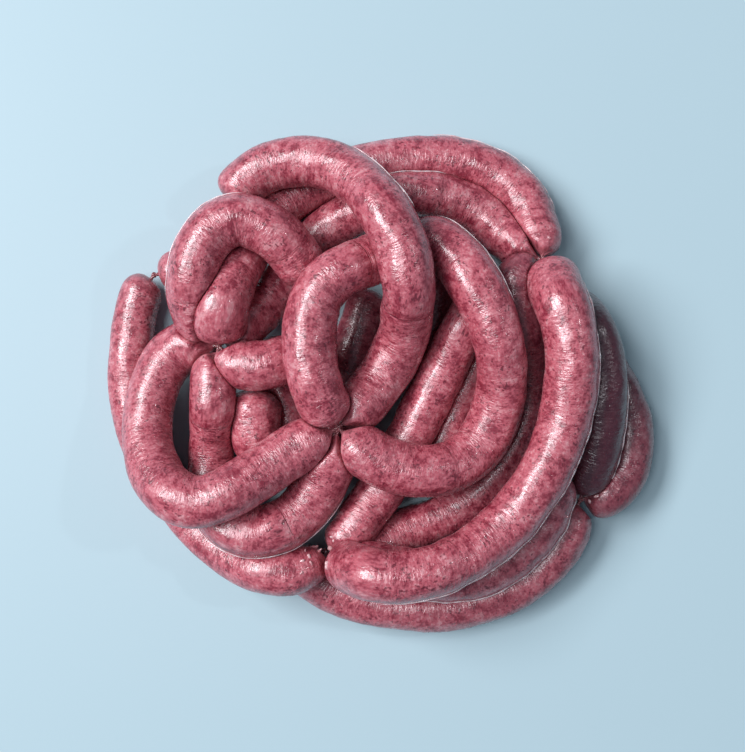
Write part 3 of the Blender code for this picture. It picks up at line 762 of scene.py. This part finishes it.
@dataclass(frozen=True)
class StuffedCasing:
    """Damp clear casing, tight over coarse pinkish red meat with pale fat and dark flecks."""

    name: str = "stuffed_casing"
    flesh: Color = (0.505, 0.114, 0.148)
    lean: Color = (0.225, 0.016, 0.036)
    fat: Color = (0.680, 0.315, 0.340)
    fleck: Color = (0.120, 0.008, 0.020)
    # The dark purple that links are mixed towards: painted shade where a link lies in the shadow of others,
    # and partly a darker meat.
    deep: Color = (0.052, 0.008, 0.018)
    blotches: Cloud = Cloud(270.0, 3.0, 0.62, 0.48, (1.2, 0.85, 0.85))
    clouds: Cloud = Cloud(95.0, 2.0, 0.55, 0.22)
    grain: Cloud = Cloud(900.0, 2.0, 0.6, 0.30)
    patches: Cloud = Cloud(210.0, 2.0, 0.55, 1.0, (1.1, 0.9, 0.9))
    flecks: Cloud = Cloud(820.0, 1.0, 0.5, 0.65)
    fleck_places: Cloud = Cloud(170.0, 1.0, 0.5, 0.35)
    ripples: Cloud = Cloud(950.0, 2.0, 0.6, 0.95, (1.0, 0.30, 0.30))
    fine_ripples: Cloud = Cloud(2100.0, 1.0, 0.5, 0.20, (1.0, 0.6, 0.6))
    pebbles: Cloud = Cloud(560.0, 2.0, 0.6, 0.26)
    swells: Cloud = Cloud(190.0, 1.0, 0.5, 0.15)
    creases: Cloud = Cloud(460.0, 2.0, 0.55, 1.0, (1.0, 0.34, 0.34))
    dampness: Cloud = Cloud(330.0, 2.0, 0.6)
    lean_parts: Mask = Mask(0.470, 0.600, 0.92)
    fat_parts: Mask = Mask(0.480, 0.370, 0.72)
    patch_parts: Mask = Mask(0.56, 0.70, 0.45)
    fleck_parts: Mask = Mask(0.585, 0.660, 0.80)
    bent_parts: Mask = Mask(0.02, 0.3, 1.3)
    dull_parts: Mask = Mask(0.40, 0.68, 0.17)
    paler_ends: float = 0.16
    gloss_roughness: float = 0.27
    wrinkle_depth: float = 0.00042

    def meat(self, recipe: Recipe, straight: Wire) -> Wire:
        """The meat's colors, seen through the casing.

        Args:
            recipe: The material under construction.
            straight: The place on the link, as if the link were straight.

        Returns:
            The color before the ends are tinted, and before the links' painted shade and darker meat are
            mixed in.
        """
        mince = recipe.cloudy(straight, self.blotches, self.clouds, self.grain)
        color = recipe.mix(mince.masked(self.lean_parts), self.flesh, self.lean)
        color = recipe.mix(mince.masked(self.fat_parts), color, self.fat)
        patches = recipe.cloudy(straight, self.patches)
        color = recipe.mix(patches.masked(self.patch_parts), color, self.lean)
        flecks = recipe.cloudy(straight, self.flecks, self.fleck_places)
        return recipe.mix(flecks.masked(self.fleck_parts), color, self.fleck)

    def wrinkles(self, recipe: Recipe, straight: Wire, bend: Wire) -> Wire:
        """The casing's ripples across the link, its pebbles, and its creases inside bends."""
        height = recipe.cloudy(straight, self.ripples, self.fine_ripples, self.pebbles, self.swells)
        return height + recipe.cloudy(straight, self.creases) * bend.masked(self.bent_parts)

    def material(self) -> bpy.types.Material:
        """Mixes the meat's colors and the casing's gloss and wrinkles."""
        recipe = Recipe(self.name)
        straight = recipe.stored("straight")
        pinch, bend, shade_and_dark_meat = recipe.parts(recipe.stored("traits"))
        color = recipe.mix(pinch * self.paler_ends, self.meat(recipe, straight), self.fat)
        # Mixes the link towards the dark purple: painted shade where it lies in others' shadow, and partly
        # a darker meat.
        color = recipe.mix(shade_and_dark_meat, color, self.deep)
        dull = recipe.cloudy(straight, self.dampness).masked(self.dull_parts)
        return recipe.finish(
            Base_Color=color, Roughness=self.gloss_roughness + dull, Specular_IOR_Level=1.0,
            Subsurface_Weight=0.07, Subsurface_Radius=(1.0, 0.25, 0.2), Subsurface_Scale=0.002,
            Coat_Weight=0.20, Coat_Roughness=0.07,
            Normal=recipe.relief(self.wrinkles(recipe, straight, bend), self.wrinkle_depth))


@dataclass(frozen=True)
class TwistedCasing:
    """Empty casing twisted tight: dark and damp, with paler ridges and painted shade in the grooves between
    them.
    """

    name: str = "twisted_casing"
    # The grooves' color: painted shade where the ridges fall away.
    hollow_shade: Color = (0.130, 0.022, 0.032)
    ridge: Color = (0.420, 0.160, 0.170)
    crumple: Cloud = Cloud(900.0, 2.0, 0.6)
    ridge_share: float = 0.8
    crumple_share: float = 0.4
    ridge_parts: Mask = Mask(0.35, 0.95)
    crumple_depth: float = 0.00025

    def material(self) -> bpy.types.Material:
        """Mixes the ridges' color over the painted shade of the grooves, by how high each ridge stands."""
        recipe = Recipe(self.name)
        height, _, _ = recipe.parts(recipe.stored("traits"))
        crumple = recipe.cloudy(recipe.stored("straight"), self.crumple)
        share = (height * self.ridge_share + crumple * self.crumple_share).masked(self.ridge_parts)
        return recipe.finish(
            Base_Color=recipe.mix(share, self.hollow_shade, self.ridge), Roughness=0.24,
            Specular_IOR_Level=0.6, Coat_Weight=0.3, Coat_Roughness=0.1,
            Normal=recipe.relief(crumple, self.crumple_depth))


@dataclass(frozen=True)
class PaleCasing:
    """Loose clear casing that stands off the meat, and crumbs of it: thin, pale, cloudy and wet; along
    links' edges its paleness is partly painted highlight for the bright rim of the casing.
    """

    name: str = "pale_casing"
    # A pale casing color, partly the casing's own and partly painted highlight, kept bright where the seams
    # lie in shade.
    milk_and_rim_highlight: Color = (0.860, 0.700, 0.720)
    blush: Color = (0.700, 0.460, 0.480)
    patches: Cloud = Cloud(300.0, 2.0, 0.6)
    blush_parts: Mask = Mask(0.42, 0.66)
    crumple: Cloud = Cloud(1400.0, 2.0, 0.6)
    crumple_depth: float = 0.0001

    def material(self) -> bpy.types.Material:
        """A pale, cloudy film that turns pinker in patches; on the seams its paleness is partly painted
        highlight.
        """
        recipe = Recipe(self.name)
        place = recipe.stored("straight")
        share = recipe.cloudy(place, self.patches).masked(self.blush_parts)
        return recipe.finish(
            Base_Color=recipe.mix(share, self.milk_and_rim_highlight, self.blush), Roughness=0.20,
            Specular_IOR_Level=0.7, Coat_Weight=0.4, Coat_Roughness=0.08,
            Subsurface_Weight=0.15, Subsurface_Radius=(1.0, 0.5, 0.45), Subsurface_Scale=0.001,
            Normal=recipe.relief(recipe.cloudy(place, self.crumple), self.crumple_depth))


@dataclass
class LinkSkin:
    """The fine skin of one link."""

    heap: Heap
    index: int
    ring_step: float = 0.0009
    end_step: float = 0.00045
    end_length: float = 0.012
    sides: int = 64
    open_tip: float = 0.00035
    least_tip_share: float = 0.2
    lump_depth: float = 0.00015
    lump_length: float = 0.011
    dimple_depth: float = 0.00003
    dimple_length: float = 0.0042
    pleat_depth: float = 0.00016
    pleat_length: float = 0.0075
    pleats_each_end: int = 11
    pleat_widths: tuple[float, float] = (0.10, 0.22)
    pleat_depth_shares: tuple[float, float] = (0.35, 1.0)
    pleat_reach_shares: tuple[float, float] = (0.45, 1.0)
    pleat_lean: float = 30.0
    press_blend: float = 0.0007
    pattern_shift: tuple[float, float, float] = (0.013, 0.007, 0.003)
    rings: Array = field(init=False)
    spokes: Array = field(init=False)
    ring_places: Array = field(init=False)

    def stations(self, length: float) -> Array:
        """Distances along the link at which its rings stand, closer at its ends."""
        ends = np.arange(0.0, self.end_length, self.end_step)
        count = max(int((length - 2 * self.end_length) / self.ring_step), 1)
        middle = np.linspace(self.end_length, length - self.end_length, count + 1)
        return np.concatenate([ends, middle, (length - ends)[::-1]])

    def nearness(self, stations: Array, reach: float) -> tuple[Array, Array]:
        """How near each ring is to a twist at the link's start, and to one at its end: 1 at it."""
        link = LINKS[self.index]
        start = 1.0 - soft_step(stations / reach) if link.start else 0.0 * stations
        end = 1.0 - soft_step((stations[-1] - stations) / reach) if link.end else 0.0 * stations
        return start, end

    def pleats(self, stations: Array, angles: Array) -> Array:
        """How deep the folds are that run out from the twists."""
        maker = np.random.default_rng(seed_of(LINKS[self.index].name))
        depth = np.zeros((len(stations), len(angles)))
        away = (stations, stations[-1] - stations)
        for near, distance in zip(self.nearness(stations, self.pleat_length), away):
            for _ in range(self.pleats_each_end):
                spot = maker.uniform(0.0, 2 * math.pi)
                width = maker.uniform(*self.pleat_widths)
                share = maker.uniform(*self.pleat_depth_shares)
                reach = maker.uniform(*self.pleat_reach_shares)
                lean = maker.uniform(-1.0, 1.0) * self.pleat_lean
                turn = angles[None, :] - spot - lean * distance[:, None]
                turn = (turn + math.pi) % (2 * math.pi) - math.pi
                fold = np.exp(-0.5 * (turn / width) ** 2)
                fade = np.clip(near - (1.0 - reach), 0.0, 1.0)[:, None]
                depth += share * fade * fold
        return self.pleat_depth * depth

    def build(self, material: bpy.types.Material, shade_and_dark_meat: tuple[float, float]) -> bpy.types.Object:
        """Makes the skin and stores what its material reads.

        Args:
            material: The casing over meat.
            shade_and_dark_meat: How much painted shade and darker, more purple meat the link gets, at its
                start and at its end.

        Returns:
            The new piece, which stands for the link's node.
        """
        link = LINKS[self.index]
        line = self.heap.lines[self.index]
        measured = along(line)
        stations = self.stations(measured[-1])
        tangents, _, _ = frames_along(line)
        curving = np.gradient(tangents, measured, axis=0)
        rows = read_at(stations, measured, np.column_stack([line, tangents, curving]))
        centre = rows[:, :3]
        tangent = rows[:, 3:6] / np.linalg.norm(rows[:, 3:6], axis=1)[:, None]
        level = np.cross(tangent, (0.0, 0.0, 1.0))
        level /= np.linalg.norm(level, axis=1)[:, None]
        upward = np.cross(level, tangent)
        radius = self.heap.settling.radii(link, stations, self.open_tip)
        angles = (np.arange(self.sides) + 0.5) * 2 * math.pi / self.sides - 0.5 * math.pi
        self.spokes = spokes_at(angles, level, upward)
        self.ring_places = stations
        straight = np.stack([
            np.broadcast_to(stations[:, None], (len(stations), self.sides)),
            radius[:, None] * np.cos(angles), radius[:, None] * np.sin(angles)], axis=2)
        seed = seed_of(link.name)
        swell = self.lump_depth * Ripples(self.lump_length, seed).at(straight)
        swell += self.dimple_depth * Ripples(self.dimple_length, seed + 1).at(straight)
        fullness = np.clip(radius / radius.max(), 0.0, 1.0)[:, None]
        reach = radius[:, None] + swell * fullness - self.pleats(stations, angles) * fullness
        limit = self.heap.shares(self.index, centre, radius, self.spokes) * radius[:, None]
        least = self.least_tip_share * self.open_tip
        reach = np.maximum(soft_least(reach, limit, self.press_blend), least)
        self.rings = centre[:, None, :] + self.spokes * reach[:, :, None]
        self.rings[:, :, 2] = np.maximum(self.rings[:, :, 2], 0.0)
        piece = new_piece(
            link.name + "_skin", self.rings.reshape(-1, 3), tube_faces(len(stations), self.sides), material)
        start, end = self.nearness(stations, self.pleat_length)
        pinch = np.broadcast_to(np.maximum(start, end)[:, None], reach.shape)
        inside = np.einsum("nsk,nk->ns", self.spokes, rows[:, 6:9]) * radius[:, None]
        store(piece, "straight", straight.reshape(-1, 3) + np.array(self.pattern_shift) * seed)
        # The link's painted shade and darker meat, led from its start to its end.
        shade = np.interp(stations, (0.0, stations[-1]), shade_and_dark_meat)
        shade_and_dark_meat_by_vertex = np.broadcast_to(shade[:, None], reach.shape)
        store(piece, "traits", np.stack([pinch, inside, shade_and_dark_meat_by_vertex], axis=2).reshape(-1, 3))
        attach(piece, BODY)
        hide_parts(link.name)
        return piece


@dataclass
class KnotSkin:
    """A knot: the twisted necks of the links that meet there, and the lump where they are wound."""

    heap: Heap
    name: str
    strand_radius: float = 0.00085
    lump_radius: float = 0.0013
    ridges: int = 4
    turns: float = 0.45
    neck_start: float = 0.35
    narrowing: float = 0.30
    hollow_width: float = 0.80
    ridge_width: float = 0.30
    lump_ridges: int = 3
    lump_twist: float = 5.0
    lump_hollow: float = 0.72
    lump_ridge: float = 0.28
    lump_flatness: float = 0.85
    lump_pole: float = 0.02
    rings: int = 12
    sides: int = 20

    def tips(self) -> list[Array]:
        """Where the necks of the links begin."""
        found = []
        for link, line in zip(LINKS, self.heap.lines):
            if link.start == self.name:
                found.append(line[0] + self.neck_start * (line[1] - line[0]))
            if link.end == self.name:
                found.append(line[-1] + self.neck_start * (line[-2] - line[-1]))
        return found

    def strand(self, tip: Array, seed: int) -> tuple[Array, Array]:
        """A twisted neck from a link's tip into the knot: its points, and how high each ridge is."""
        middle = self.heap.twists[self.name]
        share = np.linspace(0.0, 1.0, self.rings)
        line = tip[None, :] * (1.0 - share[:, None]) + middle[None, :] * share[:, None]
        _, level, upward = frames_along(line)
        angles = around(self.sides)
        wound = 2 * math.pi * self.turns * share[:, None]
        height = 0.5 + 0.5 * np.cos((angles[None, :] + wound) * self.ridges + seed)
        width = self.strand_radius * (1.0 - self.narrowing * share[:, None])
        width = width * (self.hollow_width + self.ridge_width * height)
        points = line[:, None, :] + spokes_at(angles, level, upward) * width[:, :, None]
        return points.reshape(-1, 3), height.reshape(-1)

    def lump(self) -> tuple[Array, Array]:
        """The wound middle of the knot: its points, and how high each ridge is."""
        middle = self.heap.twists[self.name]
        seed = seed_of(self.name)
        share = np.linspace(self.lump_pole, 1.0 - self.lump_pole, self.rings)
        angles = around(self.sides)
        polar = share[:, None] * math.pi
        turn = self.lump_ridges * angles[None, :] + self.lump_twist * polar + seed
        height = 0.5 + 0.5 * np.cos(turn)
        width = self.lump_radius * (self.lump_hollow + self.lump_ridge * height)
        across = np.sin(polar) * width
        points = np.stack([
            across * np.cos(angles), across * np.sin(angles),
            np.broadcast_to(np.cos(polar), width.shape) * width * self.lump_flatness], axis=2)
        return middle + points.reshape(-1, 3), height.reshape(-1)

    def build(self, material: bpy.types.Material) -> bpy.types.Object:
        """Makes the knot as one piece, which stands for the knot's node."""
        shapes = [self.lump()] + [self.strand(tip, 2 * k) for k, tip in enumerate(self.tips())]
        points = np.concatenate([shape[0] for shape in shapes])
        heights = np.concatenate([shape[1] for shape in shapes])
        faces = tubes_faces(len(shapes), self.rings, self.sides)
        piece = new_piece(self.name + "_twist", points, faces, material)
        store(piece, "straight", points)
        # The ridge heights, which the material turns into painted shade in the grooves.
        store(piece, "traits", np.stack([heights, heights, heights], axis=1))
        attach(piece, BODY)
        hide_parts(self.name)
        return piece


class Side(Enum):
    """A side of a link as seen along its route, as the angle of its widest line."""

    RIGHT = 0.0
    LEFT = math.pi


@dataclass(frozen=True)
class LooseEdge:
    """A seam of loose casing along one side of a link, over a share of its length; its pale color is partly
    painted highlight along the link's edge.
    """

    link: str
    side: Side
    rise: float
    start: float
    end: float
    radius: float = 0.00022
    stand_off: float = 0.00034
    wander: float = 0.05
    wander_length: float = 0.03
    uneven_share: float = 0.25
    uneven_length: float = 0.006
    fade_rate: float = 12.0
    least_fade: float = 0.12
    step: float = 0.0006
    sides: int = 8
    seed: int = 7

    def line(self, skin: LinkSkin) -> tuple[Array, Array]:
        """The seam's middle line over the skin, and its radius, which fades at its ends."""
        length = skin.ring_places[-1]
        count = int((self.end - self.start) * length / self.step)
        spots = np.linspace(self.start, self.end, count) * length
        waves = Ripples(self.wander_length, seed_of(self.link)).at(spots[:, None] * np.ones(3))
        lift = self.rise + self.wander * waves
        turn = lift if self.side is Side.RIGHT else self.side.value - lift
        column = (turn + 0.5 * math.pi) * skin.sides / (2 * math.pi) - 0.5
        ring = np.interp(spots, skin.ring_places, np.arange(len(skin.ring_places)))
        low = np.minimum(ring.astype(int), len(skin.ring_places) - 2)
        left = np.floor(column).astype(int)
        points = np.zeros((count, 3))
        for rows, row_share in ((low, 1.0 - (ring - low)), (low + 1, ring - low)):
            for columns, share in ((left, 1.0 - (column - left)), (left + 1, column - left)):
                place = skin.rings[rows, columns % skin.sides]
                place = place + self.stand_off * skin.spokes[rows, columns % skin.sides]
                points += (row_share * share)[:, None] * place
        way = np.linspace(0.0, 1.0, count)
        fade = np.clip(self.fade_rate * np.minimum(way, 1.0 - way), self.least_fade, 1.0)
        uneven = 1.0 + self.uneven_share * Ripples(self.uneven_length, self.seed).at(points)
        thickness = self.radius * fade * uneven
        points[:, 2] = np.maximum(points[:, 2], thickness)
        return points, thickness

    def build(self, skin: LinkSkin, material: bpy.types.Material) -> bpy.types.Object:
        """Makes the seam as a thin wet strand that lies along the skin."""
        line, thickness = self.line(skin)
        _, level, upward = frames_along(line)
        spokes = spokes_at(around(self.sides), level, upward)
        points = (line[:, None, :] + spokes * thickness[:, None, None]).reshape(-1, 3)
        piece = new_piece(self.link + "_edge", points, tube_faces(len(line), self.sides), material)
        store(piece, "straight", points)
        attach(piece, BODY)
        return piece


@dataclass(frozen=True)
class Scrap:
    """A small wet bit on the links: the chart place it is seen at, and its length and turn."""

    u: float
    v: float
    length: float
    turn: float
    slimness: float = 0.6


@dataclass
class Scraps:
    """All small bits at one place, each resting on the skin beneath it."""

    name: str
    bits: tuple[Scrap, ...]
    rings: int = 9
    sides: int = 12
    flatness: float = 0.55
    unevenness: float = 0.22
    bump_length: float = 1.3
    pole: float = 0.08

    def bit(self, scrap: Scrap, spot: Array) -> Array:
        """The points of one bit, around the spot that it rests on."""
        polar = np.linspace(self.pole, math.pi - self.pole, self.rings)[:, None]
        angles = around(self.sides)
        ball = np.stack([
            np.broadcast_to(np.cos(polar), (self.rings, self.sides)),
            np.sin(polar) * np.cos(angles) * scrap.slimness,
            np.sin(polar) * np.sin(angles) * self.flatness], axis=2)
        seed = int(scrap.u * 3 + scrap.v)
        ball *= 1.0 + self.unevenness * Ripples(self.bump_length, seed).at(ball)[:, :, None]
        turn = math.radians(scrap.turn)
        across = ball[:, :, 0] * math.cos(turn) - ball[:, :, 1] * math.sin(turn)
        along_it = ball[:, :, 0] * math.sin(turn) + ball[:, :, 1] * math.cos(turn)
        points = np.stack([across, along_it, ball[:, :, 2]], axis=2) * 0.5 * scrap.length
        return (points + spot).reshape(-1, 3)

    def spot(self, chart: Chart, skins: list[bpy.types.Object], scrap: Scrap) -> Array:
        """The point of the skins that is seen at the scrap's chart place."""
        eye = chart.eye()
        ray = chart.place(scrap.u, scrap.v, 0.0) - eye
        ray /= np.linalg.norm(ray)
        hits = [skin.ray_cast(eye.tolist(), ray.tolist()) for skin in skins]
        found = [np.array(place) for hit, place, _, _ in hits if hit]
        return min(found, key=lambda place: np.linalg.norm(place - eye))

    def build(self, chart: Chart, skins: list[bpy.types.Object],
              material: bpy.types.Material) -> bpy.types.Object:
        """Makes the bits as one piece.

        Args:
            chart: The view that the bits are placed in.
            skins: The pieces that the bits can rest on.
            material: What the bits are made of.

        Returns:
            The new piece.
        """
        points = np.concatenate([self.bit(scrap, self.spot(chart, skins, scrap)) for scrap in self.bits])
        faces = tubes_faces(len(self.bits), self.rings, self.sides)
        piece = new_piece(self.name, points, faces, material)
        store(piece, "straight", points)
        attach(piece, BODY)
        return piece


@dataclass(frozen=True)
class Light:
    """A soft rectangular light."""

    name: str
    place: tuple[float, float, float]
    size: tuple[float, float]
    power: float
    color: Color

    def build(self) -> None:
        """Hangs the light, facing the heap."""
        lamp = bpy.data.lights.new(self.name, "AREA")
        lamp.shape = "RECTANGLE"
        lamp.size, lamp.size_y = self.size
        lamp.energy = self.power
        lamp.color = self.color
        piece = bpy.data.objects.new(self.name, lamp)
        piece.location = self.place
        piece.rotation_euler = (-Vector(self.place)).to_track_quat("-Z", "Y").to_euler()
        bpy.context.scene.collection.objects.link(piece)


@dataclass(frozen=True)
class Studio:
    """A plain pale floor, soft light from the left, and the camera straight above."""

    chart: Chart
    floor_color: Color = (0.42, 0.560, 0.615)
    floor_roughness: float = 0.55
    floor_half: float = 1.2
    floor_drop: float = 0.0002
    sky_color: Color = (0.61, 0.81, 1.0)
    sky_strength: float = 0.18
    sensor_width: float = 36.0
    image_width: float = 745.0
    nearest: float = 0.01
    lights: tuple[Light, ...] = (
        Light("window", (-2.24, 0.81, 2.67), (2.30, 1.17), 148.0, (0.98, 0.97, 1.0)),
        Light("softbox", (-0.62, 0.05, 1.85), (0.70, 0.50), 9.8, (0.93, 0.95, 1.0)),
        Light("lamp", (0.75, 0.25, 0.95), (0.05, 0.05), 1.1, (0.93, 0.96, 1.0)),
    )

    def build(self) -> None:
        """Lays the floor, lights it and sets the camera."""
        recipe = Recipe("pale_floor")
        material = recipe.finish(Base_Color=self.floor_color, Roughness=self.floor_roughness)
        half = self.floor_half
        corners = np.array([(-half, -half, 0), (half, -half, 0), (half, half, 0), (-half, half, 0)], float)
        floor = new_piece("floor", corners - (0.0, 0.0, self.floor_drop), [(0, 1, 2, 3)], material)
        for light in self.lights:
            light.build()
        world = bpy.data.worlds.new("soft_room")
        world.use_nodes = True
        sky = world.node_tree.nodes["Background"]
        sky.inputs["Color"].default_value = (*self.sky_color, 1.0)
        sky.inputs["Strength"].default_value = self.sky_strength
        bpy.context.scene.world = world
        lens = bpy.data.cameras.new("camera")
        lens.sensor_fit = "HORIZONTAL"
        lens.sensor_width = self.sensor_width
        lens.lens = self.sensor_width * self.chart.view_height / (self.image_width * self.chart.unit)
        lens.clip_start = self.nearest
        camera = bpy.data.objects.new("camera", lens)
        camera.location = self.chart.eye()
        bpy.context.scene.collection.objects.link(camera)
        bpy.context.scene.camera = camera
        bpy.context.scene.view_settings.view_transform = "Standard"


# How far each link is mixed towards the dark purple, at its start and at its end: painted shade where it
# lies in the shadow of other links, and partly a darker meat.
SHADE_AND_DARK_MEAT_BY_LINK: dict[str, tuple[float, float]] = {
    "link_right_inner": (0.92, 0.95),
    "link_right_rim": (0.50, 0.92),
    "link_front_inner": (0.25, 0.0),
    "link_front_rim": (0.25, 0.0),
    "link_right_hidden": (0.45, 0.0),
    "link_deep_hook": (0.45, 0.45),
    "link_deep_middle": (0.45, 0.45),
}

# Seams along the edges that the links show from above: loose casing, pale partly as painted highlight for
# the bright rim along the casing.
EDGES: tuple[LooseEdge, ...] = (
    LooseEdge("link_right_bow", Side.LEFT, 0.10, 0.06, 0.86, 0.00031),
    LooseEdge("link_front_inner", Side.LEFT, 0.12, 0.06, 0.78, 0.00031),
    LooseEdge("link_left_under", Side.RIGHT, 0.15, 0.46, 0.84),
    LooseEdge("link_top_arch", Side.LEFT, 0.15, 0.28, 0.47),
    LooseEdge("link_crown_inner", Side.RIGHT, 0.35, 0.30, 0.46),
    LooseEdge("link_crown_outer", Side.RIGHT, 0.15, 0.08, 0.34),
    LooseEdge("link_centre_bow", Side.RIGHT, 0.15, 0.72, 0.95),
    LooseEdge("link_left_loop", Side.LEFT, 0.15, 0.22, 0.62, 0.00020),
    LooseEdge("link_right_inner", Side.RIGHT, 0.25, 0.06, 0.55),
)

FRONT_CRUMBS = Scraps("front_crumbs", (
    Scrap(314, 547, 0.0030, 20), Scrap(305, 551, 0.0017, 70), Scrap(309, 556, 0.0022, 130),
    Scrap(302, 561, 0.0019, 10), Scrap(301, 573, 0.0016, 60), Scrap(325, 556, 0.0046, 90),
    Scrap(319, 551, 0.0026, 40), Scrap(311, 563, 0.0018, 110), Scrap(327, 565, 0.0032, 80),
    Scrap(330, 547, 0.0030, 60), Scrap(332, 537, 0.0014, 0), Scrap(333, 541, 0.0012, 90)))

RIM_CRUMBS = Scraps("rim_crumbs", (
    Scrap(567, 517, 0.0015, 0), Scrap(590, 502, 0.0034, 120, 0.35), Scrap(597, 496, 0.0030, 20, 0.4),
    Scrap(605, 492, 0.0028, 15, 0.4), Scrap(618, 489, 0.0020, 160, 0.4)))


def main() -> None:
    """Builds every piece and reports it."""
    logging.basicConfig(level=logging.INFO, format="%(name)s: %(message)s")
    chart = Chart()
    heap = Heap(Settling(chart))
    meat = StuffedCasing().material()
    twisted = TwistedCasing().material()
    pale = PaleCasing().material()
    crumbs = PaleCasing("meat_crumbs", milk_and_rim_highlight=(0.680, 0.440, 0.450), blush=(0.500, 0.200, 0.220)).material()
    skins = {link.name: LinkSkin(heap, index) for index, link in enumerate(LINKS)}
    links = [skin.build(meat, SHADE_AND_DARK_MEAT_BY_LINK.get(name, (0.0, 0.0))) for name, skin in skins.items()]
    pieces = list(links)
    pieces += [KnotSkin(heap, name).build(twisted) for name in TWISTS]
    pieces += [edge.build(skins[edge.link], pale) for edge in EDGES]
    bpy.context.view_layer.update()
    pieces += [scraps.build(chart, links, crumbs) for scraps in (FRONT_CRUMBS, RIM_CRUMBS)]
    for piece in pieces:
        LOG.info("%s has %d faces", piece.name, len(piece.data.polygons))
    Studio(chart).build()


if __name__ == "__main__":
    main()
